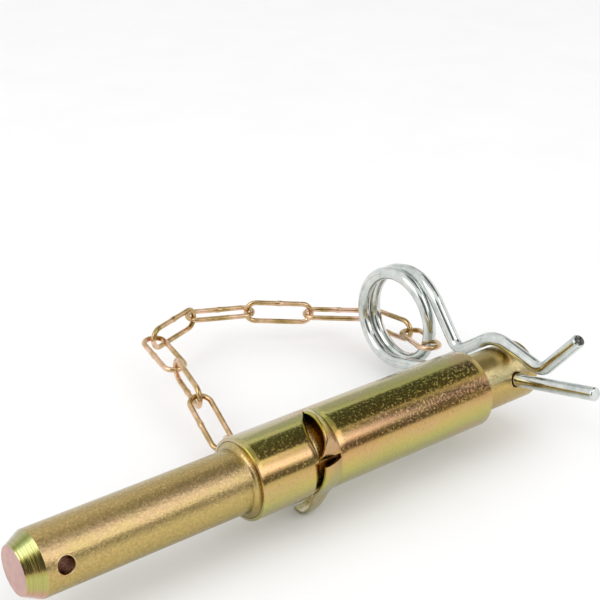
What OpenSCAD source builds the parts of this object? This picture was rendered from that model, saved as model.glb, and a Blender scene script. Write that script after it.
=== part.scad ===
// Locking pin for a tractor linkage: a stepped pin with a sleeve, stop ears, an R-clip and its chain.
// Frame: X runs along the pin towards the clip, Z is up, the origin is where the axis of the
// free cross hole meets the axis of the pin.

/* [Pin] */
// Diameter of the free end and of the tail
shaft_d = 22; // [18:0.5:25]
// Length of the free end, from its tip to the shoulder
front_len = 81; // [60:1:120]
// Length of the seat under the sleeve
seat_len = 102; // [80:1:140]
// Length of the tail that takes the clip
tail_len = 28; // [26:1:40]
// Diameter of each cross hole
hole_d = 6; // [5.6:0.1:7]
// Distance of each cross hole from its end of the pin
hole_inset = 12; // [10:0.5:13]
// Length of the chamfer on the free end
tip_chamfer_len = 5.7; // [2:0.1:6.5]
// Depth of the chamfer on the free end
tip_chamfer_depth = 3; // [1:0.1:5]
// Chamfer on the tail's end
tail_chamfer = 1.8; // [0.5:0.1:3]
// Radius of the fillet between the free end and the shoulder
shoulder_fillet = 1.7; // [0.5:0.1:2]

/* [Sleeve] */
// Outer diameter of the sleeve
sleeve_d = 28.7; // [27.5:0.1:32]
// Wall of the sleeve
sleeve_wall = 1.25; // [1:0.05:1.6]
// Radial clearance between the sleeve and its seat
sleeve_fit = 0.02; // [0.01:0.01:0.05]
// Distance from the shoulder to the root of the ears
ear_root = 32; // [24:0.2:50]
// Reach of the ears along the pin, which is the length of their window
ear_reach = 9; // [7:0.2:11]
// Lift of the upper ear
upper_ear_lift = 4.2; // [2:0.2:7]
// Lift of the lower ear
lower_ear_lift = 7; // [2:0.2:8]
// Angle of the slit between the ears above the front of the pin
slit_angle = 17; // [10:1:24]
// Width of the slit
slit_w = 1.6; // [1:0.1:2.5]

/* [R-clip] */
// Diameter of the clip's wire
clip_wire_d = 5; // [4.5:0.1:5.2]
// Angle by which the clip's straight leg falls towards its coil
clip_tilt = 15; // [0:1:20]
// Reach of the straight leg in front of the pin's axis
leg_front = 49; // [40:1:60]
// Distance of the coil's centre behind the pin's axis
coil_back = 51.8; // [48:0.2:60]
// Mean radius of the coil
coil_r = 18.2; // [17:0.2:20]
// Gap between the coil's turns
coil_gap = 0.3; // [0.2:0.05:0.6]
// Clearance between the wavy leg and the tail
grip_clearance = 0.35; // [0.2:0.05:0.8]
// Reach of the wavy leg in front of the pin's axis
wave_front = 43; // [38:1:50]

/* [Chain] */
// Diameter of the links' wire
link_wire_d = 2.1; // [1.8:0.1:2.4]
// Length inside a link, which is the chain's pitch
link_pitch = 25; // [24:0.2:27]
// Width inside a link
link_inner_w = 6.2; // [6:0.1:7]
// Clearance between links, measured along the chain
link_play = 0.6; // [0.5:0.1:0.9]
// Room between the end of the last link and the coil's wire inside it
hook_play = 1.6; // [0.5:0.1:3]
// Thickness of the lug
lug_t = 2; // [1.5:0.1:2.5]
// Radius of the lug's round end
lug_r = 4; // [3.8:0.1:5]
// Diameter of the lug's hole
lug_hole_d = 5; // [4:0.1:5.5]
// Distance of the lug's hole outside the sleeve
lug_out = 4.4; // [4:0.2:8]
// Distance from the shoulder to the middle of the lug
lug_from_shoulder = 13; // [6:0.5:20]
// Height of the lug's middle above the pin's axis
lug_height = -4; // [-6:0.5:3]

/* [Hidden] */
$fn = 96;
eps = 0.5;
zinc_yellow = "#b79f58";
zinc_bright = "#c9ced1";

// Stations along the pin
x_tip = -hole_inset;
x_shoulder = front_len - hole_inset;
x_tail = x_shoulder + seat_len;
x_end = x_tail + tail_len;
x_clip = x_end - hole_inset;
x_root = x_shoulder + ear_root;

shaft_r = shaft_d / 2;
sleeve_r = sleeve_d / 2;
bore_r = sleeve_r - sleeve_wall;
seat_r = bore_r - sleeve_fit;

// Angles round the pin are counted from the front (-Y) up over the top (+Z).
window_from = -93;
window_to = 103;
slit_half = slit_w / 2 / sleeve_r * 180 / PI;

// Wire radii of the clip and of a link
clip_r = clip_wire_d / 2;
link_r = link_wire_d / 2;

// Turns an axial solid drawn along Z to lie along X.
module along_pin(x) {
    translate([x, 0, 0])
        rotate([0, 90, 0])
            children();
}

// Hole across the pin, in line with the clip's straight leg.
module cross_hole(x) {
    translate([x, 0, 0])
        rotate([-90 - clip_tilt, 0, 0])
            cylinder(d = hole_d, h = 2 * sleeve_d, center = true);
}

// Concave fillet ring that leans on a face, growing towards -X.
module fillet_ring(x, r, f) {
    along_pin(x - f)
        difference() {
            cylinder(r = r + f, h = f);
            translate([0, 0, -eps])
                cylinder(r = r - eps, h = f + 2 * eps);
            rotate_extrude()
                translate([r + f, 0])
                    circle(r = f);
        }
}

module pin() {
    color(zinc_yellow)
        difference() {
            union() {
                along_pin(x_tip)
                    cylinder(r1 = shaft_r - tip_chamfer_depth, r2 = shaft_r, h = tip_chamfer_len);
                along_pin(x_tip + tip_chamfer_len)
                    cylinder(r = shaft_r, h = front_len - tip_chamfer_len);
                fillet_ring(x_shoulder, shaft_r, shoulder_fillet);
                along_pin(x_shoulder)
                    cylinder(r = seat_r, h = seat_len);
                along_pin(x_tail)
                    cylinder(r = shaft_r, h = tail_len - tail_chamfer);
                along_pin(x_end - tail_chamfer)
                    cylinder(r1 = shaft_r, r2 = shaft_r - tail_chamfer, h = tail_chamfer);
            }
            cross_hole(0);
            cross_hole(x_clip);
        }
}

// Lift and reach of an ear's rim, u running from the slit (0) to the ear's far side (1)
function upper_lift(u) = upper_ear_lift * pow(max(sin(180 * u), 0), 0.8);
function upper_reach(u) = ear_reach * (0.56 + 0.1 * (1 - u) + 0.34 * pow(1 - u, 6));
// The lower ear springs up beside the slit, lies close to the sleeve halfway and turns down into a foot.
function lower_lift(u) = lower_ear_lift
    * (0.42 * pow(max(1 - 2 * u, 0), 1.3) + 0.06 + 0.94 * ease((u - 0.5) / 0.42));
function lower_reach(u) = 0.98 * ear_reach;

// Point at radius r and angle a round the pin.
function round_pin(x, r, a) = [x, -r * cos(a), r * sin(a)];

// One ear: a strip of the sleeve's wall that curls outwards from the root to its free rim.
ear_rows = 8;
ear_cols = 26;
ear_curl = 1.7;
ear_inset = 0.04;
module ear(upper) {
    a0 = upper ? slit_angle + slit_half : slit_angle - slit_half;
    a1 = upper ? window_to : window_from + 1;
    cols = ear_cols;
    rows = ear_rows + 1;
    // Row 0 lies inside the sleeve's wall, row 1 on its cut edge.
    function lift(u) = upper ? upper_lift(u) : lower_lift(u);
    function reach(u) = upper ? upper_reach(u) : lower_reach(u);
    function row_x(j, u) = j == 0 ? x_root + eps : x_root - reach(u) * (j - 1) / ear_rows;
    function row_r(j, u) = sleeve_r - ear_inset
        + (j < 2 ? 0 : lift(u) * (1 - pow(1 - (j - 1) / ear_rows, ear_curl)));
    function at(i, j, depth) =
        let (u = i / cols)
        round_pin(row_x(j, u), row_r(j, u) - depth, a0 + (a1 - a0) * u);
    outer = [for (i = [0:cols]) for (j = [0:rows]) at(i, j, 0)];
    inner = [for (i = [0:cols]) for (j = [0:rows]) at(i, j, sleeve_wall - 2 * ear_inset)];
    side = rows + 1;
    count = (cols + 1) * side;
    top = [for (i = [0:cols - 1]) for (j = [0:rows - 1])
        each [[i * side + j, (i + 1) * side + j + 1, (i + 1) * side + j],
              [i * side + j, i * side + j + 1, (i + 1) * side + j + 1]]];
    under = [for (f = top) [f[2] + count, f[1] + count, f[0] + count]];
    edge = concat([for (j = [0:rows]) j],
        [for (i = [1:cols]) i * side + rows],
        [for (j = [rows - 1:-1:0]) cols * side + j],
        [for (i = [cols - 1:-1:1]) i * side]);
    wall = [for (k = [0:len(edge) - 1])
        let (p = edge[k], q = edge[(k + 1) % len(edge)])
        each [[p, q + count, q], [p, p + count, q + count]]];
    faces = concat(top, under, wall);
    // The lower ear's columns run the other way round the pin, so its faces are turned over.
    polyhedron(points = concat(outer, inner),
        faces = upper ? faces : [for (f = faces) [f[2], f[1], f[0]]], convexity = 6);
}

module sleeve() {
    color(zinc_yellow)
        union() {
            difference() {
                along_pin(x_shoulder)
                    difference() {
                        cylinder(r = sleeve_r, h = seat_len);
                        translate([0, 0, -eps])
                            cylinder(r = bore_r, h = seat_len + 2 * eps);
                    }
                along_pin(x_root - ear_reach)
                    rotate([0, 0, -90 - window_to])
                        rotate_extrude(angle = window_to - window_from)
                            translate([bore_r - eps, 0])
                                square([sleeve_wall + 2 * eps, ear_reach]);
            }
            ear(true);
            ear(false);
        }
}

lug_centre = [x_shoulder + lug_from_shoulder, sleeve_r + lug_out, lug_height];
module chain_lug() {
    color(zinc_yellow)
        difference() {
            translate([lug_centre[0], 0, lug_height - lug_t / 2])
                linear_extrude(height = lug_t)
                    difference() {
                        union() {
                            translate([-lug_r, bore_r - 2])
                                square([2 * lug_r, lug_centre[1] - bore_r + 2]);
                            translate([0, lug_centre[1]])
                                circle(r = lug_r);
                        }
                        translate([0, lug_centre[1]])
                            circle(d = lug_hole_d);
                    }
            along_pin(x_shoulder - eps)
                cylinder(r = sleeve_r, h = seat_len);
        }
}

// Clip: points are given along the straight leg (s), across it (n) and sideways along the pin (side).
function clip_point(s, n, side) = [x_clip + side,
    s * cos(clip_tilt) + n * sin(clip_tilt),
    -s * sin(clip_tilt) + n * cos(clip_tilt)];
function ease(t) = t <= 0 ? 0 : t >= 1 ? 1 : t * t * (3 - 2 * t);

coil_pitch = clip_wire_d + coil_gap;
// The leg leaves the tail straight, then steps aside to the coil's first turn.
leg_straight = shaft_r + 4;
leg_aside = leg_straight + 26;
coil_lead = 0.92 * clip_wire_d;
coil_turns = 1.5;
coil_steps = 60;
function coil_side(a) = -coil_lead + coil_pitch * (a + 90) / 360;
function coil_point(a) = clip_point(coil_back + coil_r * cos(a), coil_r + coil_r * sin(a), coil_side(a));

// Wavy leg: corners of the bent wire and the radius of each bend.
grip_r = shaft_r + clip_r + grip_clearance;
rear_slope = 24;
front_slope = 29;
rear_dip = [grip_r + 6.7, clip_wire_d + 1.6];
front_dip = [-grip_r - 9.2, clip_wire_d - 0.4];
knee_slope = 64;
knee = [rear_dip[0] + (2 * coil_r - rear_dip[1]) / tan(knee_slope), 2 * coil_r];
crest = let (d = sin(rear_slope + front_slope))
    [grip_r * (cos(front_slope) - cos(rear_slope)) / d, grip_r * (sin(front_slope) + sin(rear_slope)) / d];
wave_end = [-wave_front, 18.5];
wave_corners = [[coil_back, 2 * coil_r], knee, rear_dip, crest, front_dip, wave_end];
wave_radii = [0, 21, 5, grip_r, 6.5, 0];
bend_steps = 9;

// Arc of radius r that rounds the corner p between a and b.
function unit(v) = v / norm(v);
function rounded(a, p, b, r) =
    let (u = unit(a - p), w = unit(b - p), half = acos(u * w) / 2,
         centre = p + unit(u + w) * r / sin(half),
         start = p + u * r / tan(half) - centre,
         finish = p + w * r / tan(half) - centre,
         sweep = 180 - 2 * half)
    [for (k = [0:bend_steps])
        let (t = sweep * k / bend_steps)
        centre + (start * sin(sweep - t) + finish * sin(t)) / sin(sweep)];
wave_flat = concat(
    [for (i = [1:len(wave_corners) - 2])
        each rounded(wave_corners[i - 1], wave_corners[i], wave_corners[i + 1], wave_radii[i])],
    [wave_end]);
wave_side = 1.2;
coil_exit_side = coil_side(-90 + 360 * coil_turns);
function wave_aside(s) = wave_side
    + (coil_exit_side - wave_side) * ease((s - rear_dip[0]) / (coil_back - rear_dip[0]));

aside_steps = 9;
clip_path = concat(
    [clip_point(leg_straight - 2, 0, 0)],
    [for (k = [0:aside_steps])
        let (t = k / aside_steps)
        clip_point(leg_straight + (leg_aside - leg_straight) * t, 0, -coil_lead * ease(t))],
    [for (k = [0:coil_steps]) coil_point(-90 + 360 * coil_turns * k / coil_steps)],
    [for (p = wave_flat) clip_point(p[0], p[1], wave_aside(p[0]))]);

// Round wire swept along a path whose bends all lie across the pin.
wire_sides = 14;
module wire(path, r) {
    last = len(path) - 1;
    rings = [for (i = [0:last])
        let (t = unit(path[min(i + 1, last)] - path[max(i - 1, 0)]),
             side = unit([1, 0, 0] - t[0] * t),
             up = cross(t, side))
        each [for (k = [0:wire_sides - 1])
            path[i] + r * (cos(360 * k / wire_sides) * side + sin(360 * k / wire_sides) * up)]];
    skin = [for (i = [0:last - 1]) for (k = [0:wire_sides - 1])
        let (a = i * wire_sides + k, b = i * wire_sides + (k + 1) % wire_sides)
        each [[a, a + wire_sides, b + wire_sides], [a, b + wire_sides, b]]];
    caps = [[for (k = [0:wire_sides - 1]) k],
        [for (k = [wire_sides - 1:-1:0]) last * wire_sides + k]];
    polyhedron(points = rings, faces = concat(skin, caps), convexity = 10);
}

tip_bevel = 0.5;
// The swept wire is a hair thinner than the straight leg, so that it starts inside it.
sweep_inset = 0.01;
module r_clip() {
    color(zinc_bright)
        union() {
            translate([x_clip, 0, 0])
                rotate([-90 - clip_tilt, 0, 0]) {
                    translate([0, 0, -leg_front])
                        cylinder(r1 = clip_r - tip_bevel, r2 = clip_r, h = tip_bevel);
                    translate([0, 0, -leg_front + tip_bevel])
                        cylinder(r = clip_r, h = leg_front + leg_straight - tip_bevel);
                }
            wire(clip_path, clip_r - sweep_inset);
        }
}

// Chain: its joints settle between the lug and the coil from a route sketched by hand.
link_count = 10;
hook_angle = 215;
hook = coil_point(hook_angle);
lug_end = lug_centre;
sketch = [lug_end, [91.5, 42, -13.5], [95.5, 62.5, -7.5], [101.5, 86, -6], [105, 110, -5], [126, 123, -5],
    [149.5, 114, -5.5], [171, 102, -8], [192.5, 83, -8], [195.5, 59, -6.5], hook];
// Links stand on edge and lie flat by turns. A link on edge pivots on its own end wires,
// which rest inside the flat links' ends; the last flat link holds the coil's wire.
link_len = link_pitch + link_play + link_wire_d;
wire_seat = link_wire_d + link_play;
hook_seat = link_r + clip_r + hook_play;
function on_edge(i) = i % 2 == 0;
// The first two bend up and down where they meet, so the second pivots on its own end wire there.
lengths = [for (i = [0:link_count - 1])
    i < 2 ? link_len - wire_seat
    : on_edge(i) ? link_len
    : i < link_count - 1 ? link_len - 2 * wire_seat
    : link_len - wire_seat - hook_seat];

function reversed(v) = [for (i = [len(v) - 1:-1:0]) v[i]];
function laid(points, spans, start) = [for (i = 0, p = start; i <= link_count;
    p = i < link_count ? p + unit(points[i + 1] - p) * spans[i] : p, i = i + 1) p];
function settled(points, passes) = passes == 0 ? points
    : settled(laid(reversed(laid(reversed(points), reversed(lengths), hook)), lengths, lug_end), passes - 1);
joints = settled(sketch, 80);

// Roll of each link about its own length, from lying flat
link_rolls = [90, 0, 90, 0, 90, 0, 90, 0, 90, 0];

// One welded link lying along X in the XY plane, with its middle at the origin.
weld_r = link_r + 0.25;
weld_len = 2.4;
module link(inner_len) {
    bend_r = link_inner_w / 2 + link_r;
    half = (inner_len - link_inner_w) / 2;
    for (turn = [0, 180])
        rotate([0, 0, turn]) {
            translate([half, 0, 0])
                rotate([0, 0, -90])
                    rotate_extrude(angle = 180)
                        translate([bend_r, 0])
                            circle(r = link_r, $fn = 32);
            translate([-half, bend_r, 0])
                rotate([0, 90, 0])
                    cylinder(r = link_r, h = 2 * half, $fn = 32);
        }
    translate([-weld_len / 2, bend_r, 0])
        rotate([0, 90, 0])
            cylinder(r = weld_r, h = weld_len, $fn = 32);
}

module chain_link(i) {
    from = joints[i];
    to = joints[i + 1];
    run = unit(to - from);
    flat = unit(cross([0, 0, 1], run));
    wide = flat * cos(link_rolls[i]) + cross(run, flat) * sin(link_rolls[i]);
    deep = cross(run, wide);
    shift = i < 2 ? wire_seat / 2
        : i == link_count - 1 ? (hook_seat - wire_seat) / 2 : 0;
    middle = (from + to) / 2 + shift * run;
    color(zinc_yellow)
        multmatrix([
            [run[0], wide[0], deep[0], middle[0]],
            [run[1], wide[1], deep[1], middle[1]],
            [run[2], wide[2], deep[2], middle[2]],
            [0, 0, 0, 1]])
            link(link_pitch + link_play);
}

pin();
sleeve();
chain_lug();
r_clip();
for (i = [1:link_count])
    chain_link(i - 1);
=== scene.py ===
"""Looks of the locking pin: plated steel surfaces, the clip's round wire and the welded chain.

Everything is in metres in the part's own frame: X runs along the pin towards the clip, Z is up, and the
origin is where the free cross hole's axis meets the pin's axis. The object's sizes are written in
millimetres and scaled by MM, the studio's in metres.
"""

import math

import bmesh
import bpy
import numpy as np
from mathutils import Matrix, Vector


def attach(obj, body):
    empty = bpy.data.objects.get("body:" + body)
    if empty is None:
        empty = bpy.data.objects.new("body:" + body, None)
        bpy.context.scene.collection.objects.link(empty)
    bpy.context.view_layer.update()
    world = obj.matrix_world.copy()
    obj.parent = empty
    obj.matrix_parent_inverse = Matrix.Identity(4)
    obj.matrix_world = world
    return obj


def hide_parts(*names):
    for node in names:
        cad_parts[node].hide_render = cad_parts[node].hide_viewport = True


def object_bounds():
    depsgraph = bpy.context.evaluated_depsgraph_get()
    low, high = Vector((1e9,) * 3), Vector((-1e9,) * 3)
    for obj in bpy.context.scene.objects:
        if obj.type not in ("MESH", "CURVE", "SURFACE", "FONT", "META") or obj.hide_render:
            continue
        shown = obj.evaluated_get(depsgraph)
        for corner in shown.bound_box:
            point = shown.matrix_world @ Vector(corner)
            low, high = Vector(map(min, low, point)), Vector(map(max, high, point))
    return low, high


MM = 0.001

# Sizes of the pin and the sleeve, as in the part's source
SHAFT_R = 11.0
SLEEVE_R = 14.35
SLEEVE_WALL = 1.25
HOLE_R = 3.0
X_TIP = -12.0
X_LEAD_IN = -6.3
X_SHOULDER = 69.0
X_TAIL = 171.0
X_CLIP = 187.0
SEAT_HALF = 50.5

# A surface is told from its neighbours by where it lies, to within this much
SKIN = 0.01

# Sizes of the sleeve's ears, as in the part's source: angles are counted from the front (-Y) up over the top
X_ROOT = 101.0
EAR_REACH = 9.0
UPPER_LIFT = 4.2
LOWER_LIFT = 7.0
WINDOW_FROM = -93.0
WINDOW_TO = 103.0
SLIT_ANGLE = 17.0
SLIT_HALF = 3.2
EAR_CURL = 1.7

# Lower ear's foot, which curls more than the rest of the ear
FOOT_CURL = 2.6

# An ear's strip is rooted in the wall behind the window, and a little thinner than it
EAR_ROOTED = 0.6
EAR_INSET = 0.03

# Front edge of the window: it closes in from an angle upwards, and opens a little below the slit
CLOSES_FROM = 55.0
CLOSES_OVER = 45.0
CLOSES_BY = 5.5
OPENS_FROM = 20.0
OPENS_OVER = 30.0
OPENS_BY = 1.2

# Two rings make the tube. Away from the window they lap over each other at a seam: its distance before the
# ears' root, the lap each way, and the degrees between the window's last column and the seam's first
RING_SEAM = 4.0
RING_LAP = 0.2
RING_GAP = 0.02

# Fineness of the sleeve's mesh, round it and along it
EAR_STEPS = 48
WINDOW_STEPS = 98
BACK_STEPS = 54
FRONT_STEPS = 12
REAR_STEPS = 24
STRIP_STEPS = 14

# Rounding of the sleeve's cut edges, outside and inside
EDGE_OUTER = 0.4
EDGE_INNER = 0.15

# Sizes of the clip, as in the part's source
CLIP_R = 2.5
CLIP_TILT = math.radians(15)
LEG_FRONT = 49.0
COIL_BACK = 51.8
COIL_R = 18.2
COIL_PITCH = 5.3
COIL_LEAD = 4.6
COIL_TURNS = 1.5
LEG_STRAIGHT = 15.0
LEG_ASIDE = 41.0
WAVE_SIDE = 1.2
GRIP_R = SHAFT_R + CLIP_R + 0.35
REAR_SLOPE = math.radians(24)
FRONT_SLOPE = math.radians(29)
KNEE_SLOPE = math.radians(64)
REAR_DIP = (GRIP_R + 6.7, 6.6)
FRONT_DIP = (-GRIP_R - 9.2, 4.6)
WAVE_END = (-43.0, 18.5)
WAVE_RADII = (21, 5, GRIP_R, 6.5)

# Cropped ends of the clip's wire: how far and how much they are rounded, and where their rings lie
END_ROUNDING = 0.7
END_SHRINK = 0.22
END_RINGS = (0, 0.15, 0.4, 0.7, 1.0)

# Fineness of the clip's mesh
LEG_STEPS = 20
ASIDE_STEPS = 24
COIL_STEPS = 150
BEND_STEPS = 18
TIP_STEPS = 4
WIRE_SIDES = 32

# Sizes of a chain link, as in the part's source
LINK_R = 1.05
LINK_INNER_W = 6.2
LINK_INNER_LEN = 25.6
LINK_COUNT = 10
WELD_SWELL = 0.21
WELD_LENGTH = 2.0

# Fineness of a link's mesh
LINK_SIDES = 20
LINK_STEPS = 104
LINK_BEND_STEPS = 12

# Rolled lip of a cross hole: its ring, the thickness that shows and how deep it sits in the pin
LIP_R = 3.12
LIP_WIRE = 0.5
LIP_SUNK = 0.12
LIP_STEPS = 72

# Studio: level of the light from all round, half the floor's width in metres, and the gap under the object
FILL_LEVEL = 0.95
FLOOR_HALF = 3.0
FLOOR_GAP = 0.05

# Camera fitted to the photograph: its place in mm, where it looks, what is level in the picture, and its
# focal length in pixels of the square frame
CAMERA_PLACE = (-148.29, -314.23, 242.69)
CAMERA_FORWARD = (0.5539, 0.7174, -0.4225)
CAMERA_RIGHT = (0.7916, -0.6111, 0.0)
FOCAL_PIXELS = 1373
FRAME_PIXELS = 600
SENSOR_WIDTH = 36

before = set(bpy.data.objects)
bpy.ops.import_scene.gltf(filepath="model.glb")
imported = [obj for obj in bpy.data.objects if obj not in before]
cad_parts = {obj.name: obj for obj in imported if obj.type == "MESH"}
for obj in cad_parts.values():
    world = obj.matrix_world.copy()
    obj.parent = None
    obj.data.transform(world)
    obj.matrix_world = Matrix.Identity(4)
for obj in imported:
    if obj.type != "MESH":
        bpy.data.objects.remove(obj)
cad_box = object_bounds()


def linear(hex_colour):
    """sRGB hex to linear RGBA."""
    values = [int(hex_colour[i:i + 2], 16) / 255 for i in (1, 3, 5)]
    return [v / 12.92 if v <= 0.04045 else ((v + 0.055) / 1.055) ** 2.4 for v in values] + [1.0]


def add_node(tree, kind, inputs=None, stops=None, **settings):
    """Adds one node to a tree.

    Inputs go by socket name or number, and each is a value, a hex colour or a link. Stops fill a colour ramp.
    """
    node = tree.nodes.new(kind)
    for name, value in settings.items():
        setattr(node, name, value)
    if stops:
        elements = node.color_ramp.elements
        while len(elements) < len(stops):
            elements.new(0.5)
        for element, (place, colour) in zip(elements, stops):
            element.position = place
            element.color = linear(colour) if isinstance(colour, str) else (colour, colour, colour, 1)
    for key, value in (inputs or {}).items():
        if isinstance(value, bpy.types.NodeSocket):
            tree.links.new(value, node.inputs[key])
        else:
            node.inputs[key].default_value = linear(value) if str(value).startswith("#") else value
    return node


# Materials


def new_metal(name):
    """Empty metal: its node tree, its shader and the object position in metres."""
    material = bpy.data.materials.new(name)
    material.use_nodes = True
    tree = material.node_tree
    shader = tree.nodes["Principled BSDF"]
    shader.inputs["Metallic"].default_value = 1.0
    place = add_node(tree, "ShaderNodeTexCoord").outputs["Object"]
    return material, tree, shader, place


def per_mm(size):
    """Pattern scale whose patches are about this many millimetres across."""
    return 1 / (size * MM)


def turns(degrees):
    """Ramp place of an angle round the pin: a half at the front (-Y), more over the top."""
    return 0.5 + degrees / 360


def angle_round_pin(tree, x_y_z):
    """Angle round the pin from -180 to 180 degrees as 0 to 1, to be read by a ramp with turns()."""
    front = add_node(tree, "ShaderNodeMath", {0: x_y_z["Y"], 1: -1.0}, operation="MULTIPLY").outputs[0]
    angle = add_node(tree, "ShaderNodeMath", {0: x_y_z["Z"], 1: front}, operation="ARCTAN2").outputs[0]
    return add_node(tree, "ShaderNodeMath", {0: angle, 1: 1 / math.tau, 2: 0.5},
                    operation="MULTIPLY_ADD").outputs[0]


def turned_steel():
    """Yellow-chromated zinc on a turned steel bar: satin gold with a fine fleck.

    The chromate film is thinner on the faced end, which looks pink, and on the lead-in chamfer, which is
    smoother and runs from pink through green to grey round the pin, painted by angle, with painted shade and
    highlight bands. Round the bar the colour carries painted shade underneath and a painted highlight near 40
    to
    52 degrees, the tail a painted highlight band, the seat painted shadow under the ears, and the cross holes
    painted shade in their dark brown walls.
    """
    material, tree, shader, place = new_metal("yellow_zinc_turned_steel")
    x_y_z = add_node(tree, "ShaderNodeSeparateXYZ", {"Vector": place}).outputs
    angle = angle_round_pin(tree, x_y_z)

    # Shaft: colour round the bar, darker and greyer underneath as painted shade and lighter and pinker near
    # 40 to
    # 52 degrees as a painted highlight, flecks of about 1 mm (drawn coarse, to show) and cloudy patches
    tone = add_node(tree, "ShaderNodeValToRGB", {"Fac": angle}, [
        (turns(-60), "#a99c6c"), (turns(-20), "#c8af6b"), (turns(10), "#cdb172"), (turns(40), "#c6a97d"),
        (turns(52), "#d2b386"), (turns(66), "#d0b273"), (turns(88), "#c8ad72"),
        (turns(112), "#bfae84")]).outputs["Color"]
    fine = add_node(tree, "ShaderNodeTexNoise", {"Vector": place, "Scale": per_mm(1.0), "Detail": 4.0,
                                                 "Roughness": 0.75}).outputs["Fac"]
    fleck = add_node(tree, "ShaderNodeValToRGB", {"Fac": fine}, [(0.36, 0.6), (0.62, 1.0)]).outputs["Color"]
    colour = add_node(tree, "ShaderNodeMix", {0: 0.8, 6: tone, 7: fleck}, data_type="RGBA",
                      blend_type="MULTIPLY").outputs[2]
    drawn = add_node(tree, "ShaderNodeMapping", {"Vector": place, "Scale": (0.5, 1, 1)}).outputs["Vector"]
    broad = add_node(tree, "ShaderNodeTexNoise", {
        "Vector": drawn, "Scale": per_mm(7), "Detail": 3.0}).outputs["Fac"]
    cloud = add_node(tree, "ShaderNodeValToRGB", {"Fac": broad}, [(0.45, 0.0), (0.7, 0.35)]).outputs["Color"]
    colour = add_node(tree, "ShaderNodeMix", {0: cloud, 6: colour, 7: "#b0a55e"}, data_type="RGBA").outputs[2]

    # Tail behind the sleeve: its own colour round the bar, with a painted highlight, a bright pale band from
    # about
    # 27 to 48 degrees
    tail = add_node(tree, "ShaderNodeMath", {0: x_y_z["X"], 1: X_TAIL * MM},
                    operation="GREATER_THAN").outputs[0]
    tail_painted_highlight = add_node(tree, "ShaderNodeValToRGB", {"Fac": angle}, [
        (turns(0), "#bfa565"), (turns(18), "#cfb06b"), (turns(27), "#fdebb4"), (turns(48), "#fbe4a8"),
        (turns(58), "#d8b974"), (turns(75), "#bfa563"), (turns(115), "#bdae80")]).outputs["Color"]
    tail_with_highlight = add_node(tree, "ShaderNodeMix", {0: 0.5, 6: tail_painted_highlight, 7: fleck}, data_type="RGBA",
                           blend_type="MULTIPLY").outputs[2]
    colour = add_node(tree, "ShaderNodeMix", {0: tail, 6: colour, 7: tail_with_highlight},
                      data_type="RGBA").outputs[2]

    # Seat under the sleeve, seen through the window of the ears: never handled, so its film is a full yellow,
    # with painted shadow darkening it towards the ears' root, where the ears shade it
    seat_middle = (X_SHOULDER + X_TAIL) / 2
    seat = add_node(tree, "ShaderNodeMath", {0: x_y_z["X"], 1: seat_middle * MM, 2: SEAT_HALF * MM},
                    operation="COMPARE").outputs[0]
    under_ear = add_node(tree, "ShaderNodeMapRange", {
        "Value": x_y_z["X"], "From Min": (X_ROOT - EAR_REACH) * MM,
        "From Max": (X_ROOT - EAR_REACH / 2) * MM})
    seat_painted_shadow = add_node(tree, "ShaderNodeValToRGB", {"Fac": under_ear.outputs["Result"]}, [
        (0.3, "#efd694"), (0.65, "#c99f52"), (1.0, "#5e4526")]).outputs["Color"]
    colour = add_node(tree, "ShaderNodeMix", {0: seat, 6: colour, 7: seat_painted_shadow}, data_type="RGBA").outputs[2]

    # Lead-in chamfer, with turning rings of about 0.5 mm, and the faced end
    lead_in = add_node(tree, "ShaderNodeMath", {0: x_y_z["X"], 1: X_LEAD_IN * MM},
                       operation="LESS_THAN").outputs[0]
    # Colour round the chamfer: pink through green to grey, painted by angle as the film's sheen, with darker
    # bands near 24 to 50 and 85 degrees as painted shade and a lighter green band near 60 to 74 degrees as a
    # painted highlight
    film = add_node(tree, "ShaderNodeValToRGB", {"Fac": angle}, [
        (turns(-45), "#cba08e"), (turns(-28), "#c9a27f"), (turns(-16), "#b9b170"), (turns(8), "#b6b468"),
        (turns(24), "#a58c52"), (turns(50), "#a0984f"), (turns(60), "#bdbf80"), (turns(74), "#c6cb8a"),
        (turns(85), "#8a914c"), (turns(98), "#b1ae7c"), (turns(118), "#b4ad90")]).outputs["Color"]
    rings = add_node(tree, "ShaderNodeTexNoise", {"W": x_y_z["X"], "Scale": per_mm(0.5), "Detail": 2.0},
                     noise_dimensions="1D").outputs["Fac"]
    groove = add_node(tree, "ShaderNodeValToRGB", {"Fac": rings}, [
        (0.35, 0.55), (0.55, 1.0)]).outputs["Color"]
    film = add_node(tree, "ShaderNodeMix", {0: 0.35, 6: film, 7: groove}, data_type="RGBA",
                    blend_type="MULTIPLY").outputs[2]
    colour = add_node(tree, "ShaderNodeMix", {0: lead_in, 6: colour, 7: film}, data_type="RGBA").outputs[2]
    face = add_node(tree, "ShaderNodeMath", {0: x_y_z["X"], 1: (X_TIP + SKIN) * MM},
                    operation="LESS_THAN").outputs[0]
    patch = add_node(tree, "ShaderNodeTexNoise", {"Vector": place, "Scale": per_mm(4), "Detail": 3.0,
                                                  "Roughness": 0.6}).outputs["Fac"]
    blush = add_node(tree, "ShaderNodeValToRGB", {"Fac": patch}, [
        (0.35, "#bb8f88"), (0.65, "#caa296")]).outputs["Color"]
    colour = add_node(tree, "ShaderNodeMix", {0: face, 6: colour, 7: blush}, data_type="RGBA").outputs[2]
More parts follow.
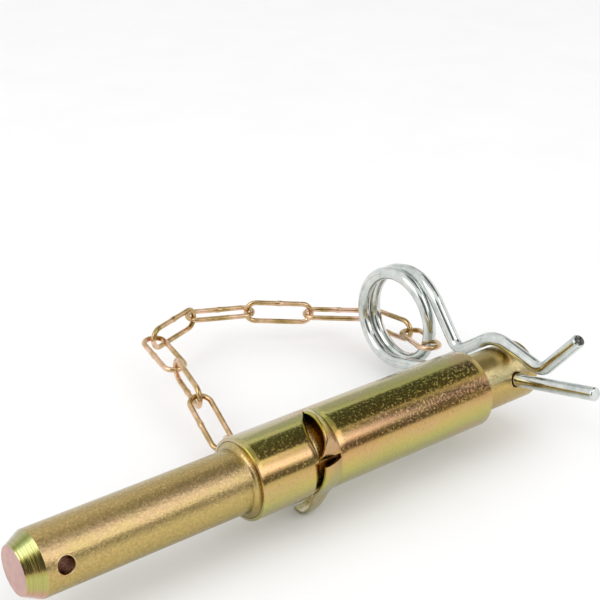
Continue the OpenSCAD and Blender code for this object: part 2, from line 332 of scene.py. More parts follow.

    # Cross holes: the distance from the nearer hole's axis; their walls get dark brown painted shade for the
    # shade inside the holes
    rear = add_node(tree, "ShaderNodeMath", {0: x_y_z["X"], 1: X_SHOULDER * MM},
                    operation="GREATER_THAN").outputs[0]
    local_x = add_node(tree, "ShaderNodeMath", {0: rear, 1: -X_CLIP * MM, 2: x_y_z["X"]},
                       operation="MULTIPLY_ADD").outputs[0]
    local = add_node(tree, "ShaderNodeCombineXYZ", {
        "X": local_x, "Y": x_y_z["Y"], "Z": x_y_z["Z"]}).outputs["Vector"]
    hole_way = (0, math.cos(CLIP_TILT), -math.sin(CLIP_TILT))
    across = add_node(tree, "ShaderNodeVectorMath", {0: local, 1: hole_way},
                      operation="CROSS_PRODUCT").outputs["Vector"]
    reach = add_node(tree, "ShaderNodeVectorMath", {0: across}, operation="LENGTH").outputs["Value"]
    bore = add_node(tree, "ShaderNodeMath", {0: reach, 1: (HOLE_R + 2 * SKIN) * MM},
                    operation="LESS_THAN").outputs[0]
    bore_painted_shade = add_node(tree, "ShaderNodeValToRGB", {"Fac": patch}, [
        (0.35, "#84604c"), (0.65, "#ae886c")]).outputs["Color"]
    colour = add_node(tree, "ShaderNodeMix", {0: bore, 6: colour, 7: bore_painted_shade}, data_type="RGBA").outputs[2]
    tree.links.new(colour, shader.inputs["Base Color"])

    # Roughness: satin on the bar, smoother where a sharp tool faced it
    satin = add_node(tree, "ShaderNodeValToRGB", {"Fac": fine}, [(0.3, 0.18), (0.7, 0.3)]).outputs["Color"]
    smooth = add_node(tree, "ShaderNodeMath", {0: lead_in, 1: tail}, operation="MAXIMUM").outputs[0]
    rough = add_node(tree, "ShaderNodeMix", {0: smooth, 6: satin, 7: (0.19, 0.19, 0.19, 1)},
                     data_type="RGBA").outputs[2]
    tree.links.new(rough, shader.inputs["Roughness"])
    ringed = add_node(tree, "ShaderNodeMix", {0: lead_in, 6: fine, 7: rings}, data_type="RGBA").outputs[2]
    bump = add_node(tree, "ShaderNodeBump", {"Height": ringed, "Distance": 0.12 * MM, "Strength": 1.0})
    tree.links.new(bump.outputs["Normal"], shader.inputs["Normal"])
    return material


def drawn_tube():
    """Yellow-chromated zinc on drawn tube: glossy, with green and pink sheen and darker reflection bands
    painted by angle round the tube, blooming in patches, speckled more to its rear.
    """
    material, tree, shader, place = new_metal("yellow_zinc_drawn_tube")
    x_y_z = add_node(tree, "ShaderNodeSeparateXYZ", {"Vector": place}).outputs
    # Colour round the tube: the green and pink sheen of the film painted by angle, greener below the slit and
    # pinker round 10 to 37 degrees, with darker bands near 24 and 46 degrees as painted shade of the
    # reflections
    tone = add_node(tree, "ShaderNodeValToRGB", {"Fac": angle_round_pin(tree, x_y_z)}, [
        (turns(-60), "#b8b08c"), (turns(-26), "#b6b276"), (turns(-12), "#c2bd6e"), (turns(-2), "#c8b66b"),
        (turns(10), "#cda86f"), (turns(24), "#b89052"), (turns(37), "#c89f7a"), (turns(46), "#ae9058"),
        (turns(54), "#b39c50"), (turns(72), "#b8b05c"), (turns(86), "#b8b674"), (turns(98), "#bcb48a"),
        (turns(112), "#c2b6a0")]).outputs["Color"]

    # Bloom in patches of 8 to 12 mm, drawn out along the tube
    drawn = add_node(tree, "ShaderNodeMapping", {"Vector": place, "Scale": (0.4, 1, 1)}).outputs["Vector"]
    broad = add_node(tree, "ShaderNodeTexNoise", {
        "Vector": drawn, "Scale": per_mm(12), "Detail": 3.0}).outputs["Fac"]
    cloud = add_node(tree, "ShaderNodeValToRGB", {"Fac": broad}, [(0.45, 0.0), (0.7, 0.5)]).outputs["Color"]
    colour = add_node(tree, "ShaderNodeMix", {0: cloud, 6: tone, 7: "#b9b06a"}, data_type="RGBA").outputs[2]
    patch = add_node(tree, "ShaderNodeTexNoise", {
        "Vector": drawn, "Scale": per_mm(8), "Detail": 3.0}).outputs["Fac"]
    blush = add_node(tree, "ShaderNodeValToRGB", {"Fac": patch}, [(0.52, 0.0), (0.72, 0.45)]).outputs["Color"]
    colour = add_node(tree, "ShaderNodeMix", {0: blush, 6: colour, 7: "#cda085"}, data_type="RGBA").outputs[2]

    # Specks of about 1 mm (drawn coarse, to show) stand on a smooth film, denser towards the rear end
    grain = add_node(tree, "ShaderNodeTexNoise", {"Vector": place, "Scale": per_mm(0.8), "Detail": 4.0,
                                                  "Roughness": 0.7}).outputs["Fac"]
    denser = add_node(tree, "ShaderNodeMapRange", {
        "Value": x_y_z["X"], "From Min": X_ROOT * MM, "From Max": X_TAIL * MM,
        "To Min": 0.0, "To Max": 0.05}).outputs["Result"]
    more = add_node(tree, "ShaderNodeMath", {0: grain, 1: denser}, operation="ADD").outputs[0]
    speck = add_node(tree, "ShaderNodeValToRGB", {"Fac": more}, [(0.6, 0.0), (0.78, 1.0)]).outputs["Color"]
    stain = add_node(tree, "ShaderNodeValToRGB", {"Fac": grain}, [(0.36, 0.72), (0.5, 1.0)]).outputs["Color"]
    colour = add_node(tree, "ShaderNodeMix", {0: 0.6, 6: colour, 7: stain}, data_type="RGBA",
                      blend_type="MULTIPLY").outputs[2]
    tree.links.new(colour, shader.inputs["Base Color"])
    rough = add_node(tree, "ShaderNodeValToRGB", {"Fac": more}, [(0.4, 0.15), (0.7, 0.22)]).outputs["Color"]
    tree.links.new(rough, shader.inputs["Roughness"])
    bump = add_node(tree, "ShaderNodeBump", {"Height": speck, "Distance": 0.05 * MM, "Strength": 0.9})
    tree.links.new(bump.outputs["Normal"], shader.inputs["Normal"])
    return material


def spring_wire():
    """Clear zinc on drawn spring wire: bright silver with a cool cast, smeared a little by coiling."""
    material, tree, shader, place = new_metal("bright_zinc_spring_wire")
    smear = add_node(tree, "ShaderNodeTexNoise", {"Vector": place, "Scale": per_mm(5), "Detail": 4.0,
                                                  "Roughness": 0.6}).outputs["Fac"]
    colour = add_node(tree, "ShaderNodeValToRGB", {"Fac": smear}, [
        (0.3, "#b9c0bd"), (0.5, "#d0d5d2"), (0.72, "#dfe1dc")]).outputs["Color"]
    tree.links.new(colour, shader.inputs["Base Color"])
    grain = add_node(tree, "ShaderNodeTexNoise", {"Vector": place, "Scale": per_mm(0.7), "Detail": 3.0,
                                                  "Roughness": 0.6}).outputs["Fac"]
    rough = add_node(tree, "ShaderNodeValToRGB", {"Fac": grain}, [(0.3, 0.07), (0.7, 0.17)]).outputs["Color"]
    tree.links.new(rough, shader.inputs["Roughness"])
    bump = add_node(tree, "ShaderNodeBump", {"Height": grain, "Distance": 0.02 * MM, "Strength": 0.4})
    tree.links.new(bump.outputs["Normal"], shader.inputs["Normal"])
    return material


def sheared_wire():
    """Cropped wire end: bare spring steel, dark and dragged by the shear, with a thin smear of zinc."""
    material, tree, shader, place = new_metal("sheared_spring_steel")
    dragged = add_node(tree, "ShaderNodeMapping", {"Vector": place, "Scale": (1, 1, 0.33)}).outputs["Vector"]
    drag = add_node(tree, "ShaderNodeTexNoise", {"Vector": dragged, "Scale": per_mm(0.9), "Detail": 3.0,
                                                 "Roughness": 0.7}).outputs["Fac"]
    colour = add_node(tree, "ShaderNodeValToRGB", {"Fac": drag}, [
        (0.35, "#35332f"), (0.55, "#6c6b66"), (0.72, "#b4b6b2")]).outputs["Color"]
    tree.links.new(colour, shader.inputs["Base Color"])
    rough = add_node(tree, "ShaderNodeValToRGB", {"Fac": drag}, [(0.3, 0.35), (0.7, 0.55)]).outputs["Color"]
    tree.links.new(rough, shader.inputs["Roughness"])
    bump = add_node(tree, "ShaderNodeBump", {"Height": drag, "Distance": 0.12 * MM, "Strength": 0.8})
    tree.links.new(bump.outputs["Normal"], shader.inputs["Normal"])
    return material


def chain_wire():
    """Yellow-chromated zinc on thin welded wire: pale pinkish gold, worn bright in patches."""
    material, tree, shader, place = new_metal("yellow_zinc_chain_wire")
    worn = add_node(tree, "ShaderNodeTexNoise", {"Vector": place, "Scale": per_mm(8), "Detail": 3.0,
                                                 "Roughness": 0.6}).outputs["Fac"]
    colour = add_node(tree, "ShaderNodeValToRGB", {"Fac": worn}, [
        (0.34, "#a78d58"), (0.5, "#ceae82"), (0.64, "#e9c5ac")]).outputs["Color"]
    tree.links.new(colour, shader.inputs["Base Color"])
    grain = add_node(tree, "ShaderNodeTexNoise", {"Vector": place, "Scale": per_mm(0.5), "Detail": 2.0,
                                                  "Roughness": 0.6}).outputs["Fac"]
    rough = add_node(tree, "ShaderNodeValToRGB", {"Fac": grain}, [(0.3, 0.12), (0.7, 0.24)]).outputs["Color"]
    tree.links.new(rough, shader.inputs["Roughness"])
    bump = add_node(tree, "ShaderNodeBump", {"Height": grain, "Distance": 0.02 * MM, "Strength": 0.5})
    tree.links.new(bump.outputs["Normal"], shader.inputs["Normal"])
    return material


def rolled_lip():
    """Edge of a drilled hole, rolled over by deburring: the gold film is rubbed thin and bright."""
    material, tree, shader, place = new_metal("yellow_zinc_rubbed_edge")
    rub = add_node(tree, "ShaderNodeTexNoise", {"Vector": place, "Scale": per_mm(1.5), "Detail": 3.0,
                                                "Roughness": 0.65}).outputs["Fac"]
    colour = add_node(tree, "ShaderNodeValToRGB", {"Fac": rub}, [
        (0.35, "#b98a55"), (0.55, "#d8bb82"), (0.7, "#ecdcae")]).outputs["Color"]
    tree.links.new(colour, shader.inputs["Base Color"])
    rough = add_node(tree, "ShaderNodeValToRGB", {"Fac": rub}, [(0.3, 0.32), (0.7, 0.16)]).outputs["Color"]
    tree.links.new(rough, shader.inputs["Roughness"])
    bump = add_node(tree, "ShaderNodeBump", {"Height": rub, "Distance": 0.05 * MM, "Strength": 0.6})
    tree.links.new(bump.outputs["Normal"], shader.inputs["Normal"])
    return material


def paper_sweep():
    """Matt white paper: no gloss, faint pulp a few centimetres across, and it keeps the soft shadow."""
    material = bpy.data.materials.new("white_paper_sweep")
    material.use_nodes = True
    tree = material.node_tree
    shader = tree.nodes["Principled BSDF"]
    shader.inputs["Roughness"].default_value = 0.9
    shader.inputs["Specular IOR Level"].default_value = 0.1
    place = add_node(tree, "ShaderNodeTexCoord").outputs["Object"]
    pulp = add_node(tree, "ShaderNodeTexNoise", {
        "Vector": place, "Scale": per_mm(40), "Detail": 2.0}).outputs["Fac"]
    colour = add_node(tree, "ShaderNodeValToRGB", {"Fac": pulp}, [
        (0.3, "#f7f7f7"), (0.7, "#f9f9f9")]).outputs["Color"]
    tree.links.new(colour, shader.inputs["Base Color"])
    return material


# Meshes


def mesh_object(name, verts, faces, material, edges=()):
    """New object at the origin, its place in its mesh."""
    mesh = bpy.data.meshes.new(name)
    mesh.from_pydata([tuple(v) for v in verts], edges, faces)
    mesh.update()
    if material:
        mesh.materials.append(material)
    obj = bpy.data.objects.new(name, mesh)
    bpy.context.scene.collection.objects.link(obj)
    return obj


def dress(piece, body, node=None):
    """Hands a finished piece to the frame: what it rides on, and the CAD node it stands for, which it hides.
    """
    if node:
        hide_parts(node)
    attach(piece, body)


def ease(t):
    """Smooth step from 0 to 1."""
    t = min(max(t, 0.0), 1.0)
    return t * t * (3 - 2 * t)


def round_pin(x, r, degrees):
    """Point at radius r and an angle round the pin, in mm."""
    a = math.radians(degrees)
    return Vector((x, -r * math.cos(a), r * math.sin(a))) * MM


def lofted(columns, closed):
    """Vertices and faces of a skin through closed loops of points."""
    count = len(columns[0])
    verts = [p for column in columns for p in column]
    faces = []
    for i in range(len(columns) if closed else len(columns) - 1):
        j = (i + 1) % len(columns)
        for k in range(count):
            m = (k + 1) % count
            faces.append((i * count + k, j * count + k, j * count + m, i * count + m))
    if not closed:
        faces.append(tuple(range(count)))
        faces.append(tuple((len(columns) - 1) * count + k for k in reversed(range(count))))
    return verts, faces


def wall_loop(x0, x1, degrees, steps, offset=lambda x: 0.0, inset=0.0):
    """Section of the sleeve's wall from x0 to x1, its free edges rounded, raised by an offset along it."""
    outer, inner = SLEEVE_R - inset, SLEEVE_R - SLEEVE_WALL + inset
    out, back = EDGE_OUTER, EDGE_INNER
    xs = [x0 + out + (x1 - x0 - 2 * out) * k / steps for k in range(steps + 1)]
    loop = [(x0, outer - out), (x0 + 0.3 * out, outer - 0.3 * out)] + [(x, outer) for x in xs]
    loop += [(x1 - 0.3 * out, outer - 0.3 * out), (x1, outer - out), (x1, inner + back)]
    loop += [(x, inner) for x in reversed(xs)] + [(x0, inner + back)]
    return [round_pin(x, r + offset(x), degrees) for x, r in loop]


def window_edge(degrees):
    """Front edge of the window the ears are pushed out of: it narrows towards the top."""
    if degrees > CLOSES_FROM:
        return X_ROOT - EAR_REACH + CLOSES_BY * ((degrees - CLOSES_FROM) / CLOSES_OVER) ** 1.3
    return X_ROOT - EAR_REACH - OPENS_BY * ease((OPENS_FROM - degrees) / OPENS_OVER)


def ear_columns(upper):
    """Sections of one ear, from the slit to its far side."""
    start = SLIT_ANGLE + SLIT_HALF if upper else SLIT_ANGLE - SLIT_HALF
    finish = WINDOW_TO if upper else WINDOW_FROM + 1
    columns = []
    for i in range(EAR_STEPS + 1):
        u = i / EAR_STEPS
        degrees = start + (finish - start) * u
        if upper:
            lift = UPPER_LIFT * max(math.sin(math.pi * u), 0.0) ** 0.8
            reach = EAR_REACH * (0.56 + 0.1 * (1 - u) + 0.34 * (1 - u) ** 6)
            reach = min(reach, X_ROOT - window_edge(degrees) - 0.2)
            curl = EAR_CURL
        else:
            # It springs up beside the slit, lies close to the sleeve halfway and turns down into a foot.
            lift = LOWER_LIFT * (0.42 * max(1 - 2 * u, 0) ** 1.3 + 0.06 + 0.94 * ease((u - 0.5) / 0.42))
            reach = 0.98 * EAR_REACH
            curl = EAR_CURL + FOOT_CURL * ease((u - 0.45) / 0.35)

        def offset(x, lift=lift, reach=reach, curl=curl):
            v = min(max((X_ROOT - x) / reach, 0.0), 1.0)
            return lift * (1 - (1 - v) ** curl)

        columns.append(wall_loop(X_ROOT - reach, X_ROOT + EAR_ROOTED, degrees, STRIP_STEPS,
                                 offset, EAR_INSET))
    return columns


def outward(mesh):
    """Turns every closed skin of a mesh outwards."""
    work = bmesh.new()
    work.from_mesh(mesh)
    bmesh.ops.recalc_face_normals(work, faces=work.faces)
    work.to_mesh(mesh)
    work.free()


def build_sleeve(material):
    """Drawn tube in two rings that overlap behind the window, with the two ears pushed out of the window."""
    seam = X_ROOT - RING_SEAM
    front, rear = [], []
    span = WINDOW_TO - WINDOW_FROM
    behind = 360 - 2 * RING_GAP - span
    for k in range(WINDOW_STEPS + 1):
        degrees = WINDOW_FROM + span * k / WINDOW_STEPS
        front.append(wall_loop(X_SHOULDER, window_edge(degrees), degrees, FRONT_STEPS))
        rear.append(wall_loop(X_ROOT, X_TAIL, degrees, REAR_STEPS))
    for k in range(BACK_STEPS + 1):
        degrees = WINDOW_TO + RING_GAP + behind * k / BACK_STEPS
        front.append(wall_loop(X_SHOULDER, seam + RING_LAP, degrees, FRONT_STEPS))
        rear.append(wall_loop(seam - RING_LAP, X_TAIL, degrees, REAR_STEPS))
    skins = [lofted(front, True), lofted(rear, True)]
    skins += [lofted(ear_columns(upper), False) for upper in (True, False)]
    verts, faces = [], []
    for more, skin in skins:
        faces += [tuple(k + len(verts) for k in face) for face in skin]
        verts += more
    sleeve = mesh_object("sleeve_tube", verts, faces, material)
    outward(sleeve.data)
    sleeve.data.shade_smooth()
    sleeve.data.set_sharp_from_angle(angle=math.radians(50))
    dress(sleeve, "pin", "sleeve")


def new_shape_tree(name, sizes):
    """Empty Geometry Nodes tree with one geometry in and out, and a named float input for each size."""
    tree = bpy.data.node_groups.new(name, "GeometryNodeTree")
    tree.interface.new_socket("Geometry", in_out="INPUT", socket_type="NodeSocketGeometry")
    for size in sizes:
        tree.interface.new_socket(size, in_out="INPUT", socket_type="NodeSocketFloat")
    tree.interface.new_socket("Geometry", in_out="OUTPUT", socket_type="NodeSocketGeometry")
    return tree, add_node(tree, "NodeGroupInput").outputs


def round_wire_tree(surface, cut_end):
    """Tree for a round wire along the path it is given: thinner at both ends, its last end bare steel."""
    tree, size = new_shape_tree("round_wire", ("Wire Diameter", "End Rounding", "End Shrink"))
    along = add_node(tree, "GeometryNodeSplineParameter").outputs
    whole = add_node(tree, "GeometryNodeSplineLength").outputs["Length"]
    ahead = add_node(tree, "ShaderNodeMath", {0: whole, 1: along["Length"]}, operation="SUBTRACT").outputs[0]
    to_end = add_node(tree, "ShaderNodeMath", {0: along["Length"], 1: ahead}, operation="MINIMUM").outputs[0]
    close = add_node(tree, "ShaderNodeMapRange", {
        "Value": to_end, "From Max": size["End Rounding"], "To Min": 1.0, "To Max": 0.0}).outputs["Result"]
    closer = add_node(tree, "ShaderNodeMath", {0: close, 1: 2.0}, operation="POWER").outputs[0]
    shrink = add_node(tree, "ShaderNodeMath", {0: closer, 1: size["End Shrink"]},
                      operation="MULTIPLY").outputs[0]
    scale = add_node(tree, "ShaderNodeMath", {0: 1.0, 1: shrink}, operation="SUBTRACT").outputs[0]

    radius = add_node(tree, "ShaderNodeMath", {0: size["Wire Diameter"], 1: 0.5},
                      operation="MULTIPLY").outputs[0]
    section = add_node(tree, "GeometryNodeCurvePrimitiveCircle", {"Resolution": WIRE_SIDES, "Radius": radius})
    path = add_node(tree, "GeometryNodeMeshToCurve", {"Mesh": size["Geometry"]}).outputs["Curve"]
    path = add_node(tree, "GeometryNodeStoreNamedAttribute", {
        "Geometry": path, "Name": "along", "Value": along["Factor"]},
        data_type="FLOAT", domain="POINT").outputs["Geometry"]
    wire = add_node(tree, "GeometryNodeCurveToMesh", {
        "Curve": path, "Profile Curve": section.outputs["Curve"], "Scale": scale,
        "Fill Caps": True}).outputs["Mesh"]

    # The end faces are the only ones with more than four corners.
    corners = add_node(tree, "GeometryNodeInputMeshFaceNeighbors").outputs["Vertex Count"]
    end = add_node(tree, "ShaderNodeMath", {0: corners, 1: 4.5}, operation="GREATER_THAN").outputs[0]
    wall = add_node(tree, "ShaderNodeMath", {0: corners, 1: 4.5}, operation="LESS_THAN").outputs[0]
    where = add_node(tree, "GeometryNodeInputNamedAttribute", {"Name": "along"},
                     data_type="FLOAT").outputs["Attribute"]
    last = add_node(tree, "ShaderNodeMath", {0: where, 1: 0.5}, operation="GREATER_THAN").outputs[0]
    last_end = add_node(tree, "ShaderNodeMath", {0: end, 1: last}, operation="MULTIPLY").outputs[0]
    wire = add_node(tree, "GeometryNodeSetShadeSmooth", {
        "Geometry": wire, "Shade Smooth": wall}).outputs["Geometry"]
    wire = add_node(tree, "GeometryNodeRealizeInstances", {"Geometry": wire}).outputs["Geometry"]
    wire = add_node(tree, "GeometryNodeSetMaterial", {
        "Geometry": wire, "Material": surface}).outputs["Geometry"]
    wire = add_node(tree, "GeometryNodeSetMaterial", {"Geometry": wire, "Selection": last_end,
                                                      "Material": cut_end}).outputs["Geometry"]
    add_node(tree, "NodeGroupOutput", {"Geometry": wire})
    return tree


def chain_link_tree(surface):
    """Tree for one welded link in the XY plane: round wire along an oval, swollen where it was welded."""
    tree, size = new_shape_tree("chain_link", (
        "Inner Length", "Inner Width", "Wire Diameter", "Weld Swell", "Weld Length"))
    long = add_node(tree, "ShaderNodeMath", {0: size["Inner Length"], 1: size["Wire Diameter"]},
                    operation="ADD").outputs[0]
    wide = add_node(tree, "ShaderNodeMath", {0: size["Inner Width"], 1: size["Wire Diameter"]},
                    operation="ADD").outputs[0]
    half = add_node(tree, "ShaderNodeMath", {0: wide, 1: 0.5}, operation="MULTIPLY").outputs[0]
    box = add_node(tree, "GeometryNodeCurvePrimitiveQuadrilateral", {
        "Width": long, "Height": wide}).outputs["Curve"]
    oval = add_node(tree, "GeometryNodeFilletCurve", {"Curve": box, "Count": LINK_BEND_STEPS, "Radius": half,
                                                      "Limit Radius": True}, mode="POLY").outputs["Curve"]
    oval = add_node(tree, "GeometryNodeResampleCurve", {"Curve": oval, "Count": LINK_STEPS}).outputs["Curve"]

    # The weld is halfway along the link's far side, and swells like a bead.
    spot = add_node(tree, "GeometryNodeInputPosition").outputs["Position"]
    x_y_z = add_node(tree, "ShaderNodeSeparateXYZ", {"Vector": spot}).outputs
    off = add_node(tree, "ShaderNodeMath", {0: x_y_z["X"], 1: size["Weld Length"]},
                   operation="DIVIDE").outputs[0]
    square = add_node(tree, "ShaderNodeMath", {0: off, 1: off}, operation="MULTIPLY").outputs[0]
    fall = add_node(tree, "ShaderNodeMath", {0: square, 1: -4.0}, operation="MULTIPLY").outputs[0]
    bead = add_node(tree, "ShaderNodeMath", {0: fall}, operation="EXPONENT").outputs[0]
    far = add_node(tree, "ShaderNodeMath", {0: x_y_z["Y"], 1: 0.0}, operation="GREATER_THAN").outputs[0]
    bead = add_node(tree, "ShaderNodeMath", {0: bead, 1: far}, operation="MULTIPLY").outputs[0]
    scale = add_node(tree, "ShaderNodeMath", {0: bead, 1: size["Weld Swell"], 2: 1.0},
                     operation="MULTIPLY_ADD").outputs[0]

    radius = add_node(tree, "ShaderNodeMath", {0: size["Wire Diameter"], 1: 0.5},
                      operation="MULTIPLY").outputs[0]
    section = add_node(tree, "GeometryNodeCurvePrimitiveCircle", {"Resolution": LINK_SIDES, "Radius": radius})
    link = add_node(tree, "GeometryNodeCurveToMesh", {
        "Curve": oval, "Profile Curve": section.outputs["Curve"], "Scale": scale}).outputs["Mesh"]
    link = add_node(tree, "GeometryNodeSetShadeSmooth", {"Geometry": link}).outputs["Geometry"]
    link = add_node(tree, "GeometryNodeRealizeInstances", {"Geometry": link}).outputs["Geometry"]
    link = add_node(tree, "GeometryNodeSetMaterial", {
        "Geometry": link, "Material": surface}).outputs["Geometry"]
    add_node(tree, "NodeGroupOutput", {"Geometry": link})
    return tree


def grown(piece, tree, sizes):
    """Runs a tree on a piece, with a value for each of its named sizes, and keeps the result as the mesh."""
    modifier = piece.modifiers.new("shape", "NODES")
    modifier.node_group = tree
    for socket in tree.interface.items_tree:
        if socket.in_out == "INPUT" and socket.name in sizes:
            modifier[socket.identifier] = sizes[socket.name]
    graph = bpy.context.evaluated_depsgraph_get()
    mesh = bpy.data.meshes.new_from_object(piece.evaluated_get(graph), depsgraph=graph)
    piece.modifiers.remove(modifier)
    piece.data = mesh
    outward(mesh)


def clip_point(s, n, side):
    """Point of the clip: s along its straight leg, n across it, side along the pin, all in mm."""
    c, t = math.cos(CLIP_TILT), math.sin(CLIP_TILT)
    return Vector((X_CLIP + side, s * c + n * t, -s * t + n * c)) * MM


def rounded(a, p, b, r, steps):
    """Points of the arc of radius r that rounds corner p between a and b, in the clip's plane."""
    a, p, b = Vector(a), Vector(p), Vector(b)
    u, w = (a - p).normalized(), (b - p).normalized()
    half = math.acos(max(-1, min(1, u.dot(w)))) / 2
    centre = p + (u + w).normalized() * r / math.sin(half)
    start = p + u * r / math.tan(half) - centre
    finish = p + w * r / math.tan(half) - centre
    sweep = math.pi - 2 * half
    return [centre + (start * math.sin(sweep * (1 - k / steps)) + finish * math.sin(sweep * k / steps))
            / math.sin(sweep) for k in range(steps + 1)]


def clip_path():
    """Middle line of the clip's wire: straight leg, step aside, coil, then the wavy leg over the tail."""
    path = [clip_point(-LEG_FRONT + ring, 0, 0) for ring in END_RINGS]
    leg = LEG_FRONT - END_RINGS[-1]
    path += [clip_point(-leg + (leg + LEG_STRAIGHT) * k / LEG_STEPS, 0, 0) for k in range(1, LEG_STEPS + 1)]
    for k in range(1, ASIDE_STEPS + 1):
        path.append(clip_point(LEG_STRAIGHT + (LEG_ASIDE - LEG_STRAIGHT) * k / ASIDE_STEPS, 0,
                               -COIL_LEAD * ease(k / ASIDE_STEPS)))
    turn = 360 * COIL_TURNS
    for k in range(COIL_STEPS + 1):
        a = math.radians(-90 + turn * k / COIL_STEPS)
        path.append(clip_point(COIL_BACK + COIL_R * math.cos(a), COIL_R + COIL_R * math.sin(a),
                               -COIL_LEAD + COIL_PITCH * COIL_TURNS * k / COIL_STEPS))
    exit_side = -COIL_LEAD + COIL_PITCH * COIL_TURNS
    spread = math.sin(REAR_SLOPE + FRONT_SLOPE)
    crest = (GRIP_R * (math.cos(FRONT_SLOPE) - math.cos(REAR_SLOPE)) / spread,
             GRIP_R * (math.sin(FRONT_SLOPE) + math.sin(REAR_SLOPE)) / spread)
    knee = (REAR_DIP[0] + (2 * COIL_R - REAR_DIP[1]) / math.tan(KNEE_SLOPE), 2 * COIL_R)
    corners = [(COIL_BACK, 2 * COIL_R), knee, REAR_DIP, crest, FRONT_DIP, WAVE_END]
    flat = []
    for i, radius in enumerate(WAVE_RADII, 1):
        flat += rounded(corners[i - 1], corners[i], corners[i + 1], radius, BEND_STEPS)
    last = Vector(WAVE_END)
    run = last - flat[-1]
    flat += [flat[-1] + run * k / TIP_STEPS for k in range(1, TIP_STEPS)]
    flat += [last - run.normalized() * ring for ring in reversed(END_RINGS)]
    for p in flat:
        side = WAVE_SIDE + (exit_side - WAVE_SIDE) * ease((p[0] - REAR_DIP[0]) / (COIL_BACK - REAR_DIP[0]))
        path.append(clip_point(p[0], p[1], side))
    return path


def build_clip(surface, cut_end):
    """Double-coil spring clip: one wire along its path, rounded a little where it was cropped."""
    path = clip_path()
    clip = mesh_object("clip_wire", path, [], None, [(i, i + 1) for i in range(len(path) - 1)])
    grown(clip, round_wire_tree(surface, cut_end), {
        "Wire Diameter": 2 * CLIP_R * MM, "End Rounding": END_ROUNDING * MM, "End Shrink": END_SHRINK})
    dress(clip, "clip", "r_clip")


def build_hole_lips(material):
    """Rolled lip round each mouth of the two cross holes, lying in the pin's surface."""
    verts, edges = [], []
    for x in (0.0, X_CLIP):
        for way in (1, -1):
            first = len(verts)
            for k in range(LIP_STEPS):
                a = math.tau * k / LIP_STEPS
                across = LIP_R * math.sin(a)
                out = way * math.sqrt((SHAFT_R - LIP_SUNK) ** 2 - across ** 2)
                verts.append(clip_point(out, across, x - X_CLIP + LIP_R * math.cos(a)))
                edges.append((first + k, first + (k + 1) % LIP_STEPS))
    lips = mesh_object("hole_lips", verts, [], None, edges)
    grown(lips, round_wire_tree(material, material), {"Wire Diameter": LIP_WIRE * MM, "End Rounding": 1.0,
                                                      "End Shrink": 0.0})
    dress(lips, "pin")


def link_place(node):
    """Where a link lies, measured on its solid: X along it, Y across it, the origin at its middle."""
    points = np.empty(len(node.data.vertices) * 3)
    node.data.vertices.foreach_get("co", points)
    points = points.reshape(-1, 3)
    _, _, axes = np.linalg.svd(points - points.mean(axis=0), full_matrices=False)
    axes[2] = np.cross(axes[0], axes[1])
    spans = points @ axes.T
    middle = (spans.max(axis=0) + spans.min(axis=0)) / 2 @ axes
    return Matrix.Translation(Vector(middle)) @ Matrix(axes.tolist()).transposed().to_4x4()


def build_links(material):
    """Ten welded links, each laid where its solid lies."""
    tree = chain_link_tree(material)
    sizes = {"Inner Length": LINK_INNER_LEN * MM, "Inner Width": LINK_INNER_W * MM,
             "Wire Diameter": 2 * LINK_R * MM, "Weld Swell": WELD_SWELL, "Weld Length": WELD_LENGTH * MM}
    for i in range(1, LINK_COUNT + 1):
        name = f"chain_link_{i}"
        link = mesh_object(f"link_wire_{i}", [(0, 0, 0)], [], None)
        grown(link, tree, sizes)
        link.data.transform(link_place(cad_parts[name]))
        dress(link, name, name)


# Studio


def add_area(name, place, target, size, power):
    """Softbox that faces a target: its width and height in metres, its power in watts."""
    light = bpy.data.lights.new(name, "AREA")
    light.shape = "RECTANGLE"
    light.size, light.size_y = size
    light.energy = power
    obj = bpy.data.objects.new(name, light)
    bpy.context.scene.collection.objects.link(obj)
    obj.location = place
    obj.rotation_euler = (Vector(target) - Vector(place)).to_track_quat("-Z", "Y").to_euler()


def add_flag(name, place, target, size, grey):
    """Dark card outside the picture that metal reflects as a dark band."""
    w, h = size[0] / 2, size[1] / 2
    material = bpy.data.materials.new(name)
    material.use_nodes = True
    shader = material.node_tree.nodes["Principled BSDF"]
    shader.inputs["Base Color"].default_value = (grey, grey, grey, 1)
    shader.inputs["Roughness"].default_value = 1.0
    shader.inputs["Specular IOR Level"].default_value = 0.0
    turn = (Vector(target) - Vector(place)).to_track_quat("-Z", "Y").to_matrix()
    corners = [Vector(place) + turn @ Vector(c) for c in ((-w, -h, 0), (w, -h, 0), (w, h, 0), (-w, h, 0))]
    card = mesh_object(name, corners, [(0, 1, 2, 3)], material)
    card.visible_camera = False
    card.visible_diffuse = False
    card.visible_shadow = False


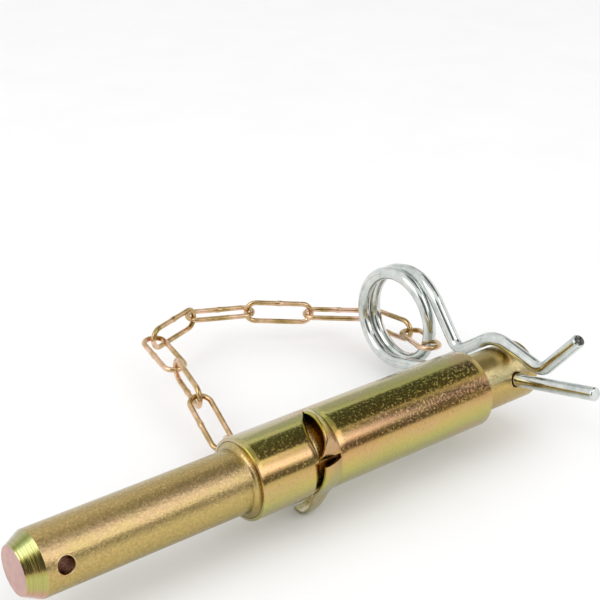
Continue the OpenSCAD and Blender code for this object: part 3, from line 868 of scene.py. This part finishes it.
def build_studio(floor_z):
    """White floor, two softboxes, cards for the metal to reflect and light from all round."""
    signs = ((-1, -1), (1, -1), (1, 1), (-1, 1))
    corners = [(x * FLOOR_HALF, y * FLOOR_HALF, floor_z) for x, y in signs]
    floor = mesh_object("floor", corners, [(0, 1, 2, 3)], paper_sweep())
    middle = (0.1, 0.03, 0.0)
    add_area("key_softbox", (0.33, -0.57, 0.485), (0.07, 0.0, 0.0), (0.5, 0.43), 0.88)
    add_area("left_softbox", (-0.75, 0.1, 0.75), middle, (0.7, 0.7), 2.6)
    add_flag("overhead_flag", (0.81, 0.0, 0.86), (0.81, 0.0, 0.0), (0.62, 0.92), 0.09)
    add_flag("overhead_net", (0.31, 0.0, 0.87), (0.31, 0.0, 0.0), (0.4, 0.5), 0.55)
    add_flag("key_side_flag", (0.68, -0.56, 0.47), (0.14, 0.0, 0.0), (0.22, 0.5), 0.15)
    add_flag("camera_flag", (-0.485, -0.566, 0.34), (-0.01, 0.0, 0.0), (0.6, 0.86), 0.13)
    add_flag("side_flag", (0.6, -1.0, 0.18), middle, (1.5, 0.34), 0.18)
    add_flag("back_flag", (0.9, 0.68, 0.56), middle, (0.7, 0.6), 0.6)
    add_flag("back_net", (0.25, 0.78, 0.6), middle, (0.6, 0.6), 0.8)
    world = bpy.data.worlds.new("studio")
    bpy.context.scene.world = world
    world.use_nodes = True
    tree = world.node_tree
    # What the camera, metal and glass see is plain white; what lights the object is a little less.
    rays = add_node(tree, "ShaderNodeLightPath").outputs
    seen = add_node(tree, "ShaderNodeMath", {0: rays["Is Camera Ray"], 1: rays["Is Glossy Ray"]},
                    operation="MAXIMUM").outputs[0]
    seen = add_node(tree, "ShaderNodeMath", {0: seen, 1: rays["Is Transmission Ray"]},
                    operation="MAXIMUM").outputs[0]
    level = add_node(tree, "ShaderNodeMapRange", {
        "Value": seen, "To Min": FILL_LEVEL, "To Max": 1.0}).outputs["Result"]
    background = tree.nodes["Background"]
    background.inputs["Color"].default_value = (1, 1, 1, 1)
    tree.links.new(level, background.inputs["Strength"])


def add_camera():
    """Camera at the photograph's viewing angle, with the photograph's square frame."""
    data = bpy.data.cameras.new("photo_view")
    data.sensor_width = SENSOR_WIDTH
    data.lens = SENSOR_WIDTH * FOCAL_PIXELS / FRAME_PIXELS
    data.clip_start = 0.01
    data.clip_end = 20
    forward = Vector(CAMERA_FORWARD).normalized()
    right = Vector(CAMERA_RIGHT).normalized()
    up = right.cross(forward)
    obj = bpy.data.objects.new("photo_view", data)
    turn = Matrix((right, up, -forward)).transposed().to_4x4()
    obj.matrix_world = Matrix.Translation(Vector(CAMERA_PLACE) * MM) @ turn
    bpy.context.scene.collection.objects.link(obj)
    bpy.context.scene.camera = obj


def paint_node(name, material):
    """Gives a CAD solid that stays in view its finish."""
    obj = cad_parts[name]
    for slot in obj.material_slots:
        slot.material = material
    if not obj.material_slots:
        obj.data.materials.append(material)


add_camera()
tube_gold = drawn_tube()
paint_node("pin", turned_steel())
build_hole_lips(rolled_lip())
build_sleeve(tube_gold)
paint_node("chain_lug", tube_gold)
build_clip(spring_wire(), sheared_wire())
build_links(chain_wire())
build_studio(cad_box[0][2] - FLOOR_GAP * MM)

bpy.context.scene.view_settings.view_transform = "Standard"
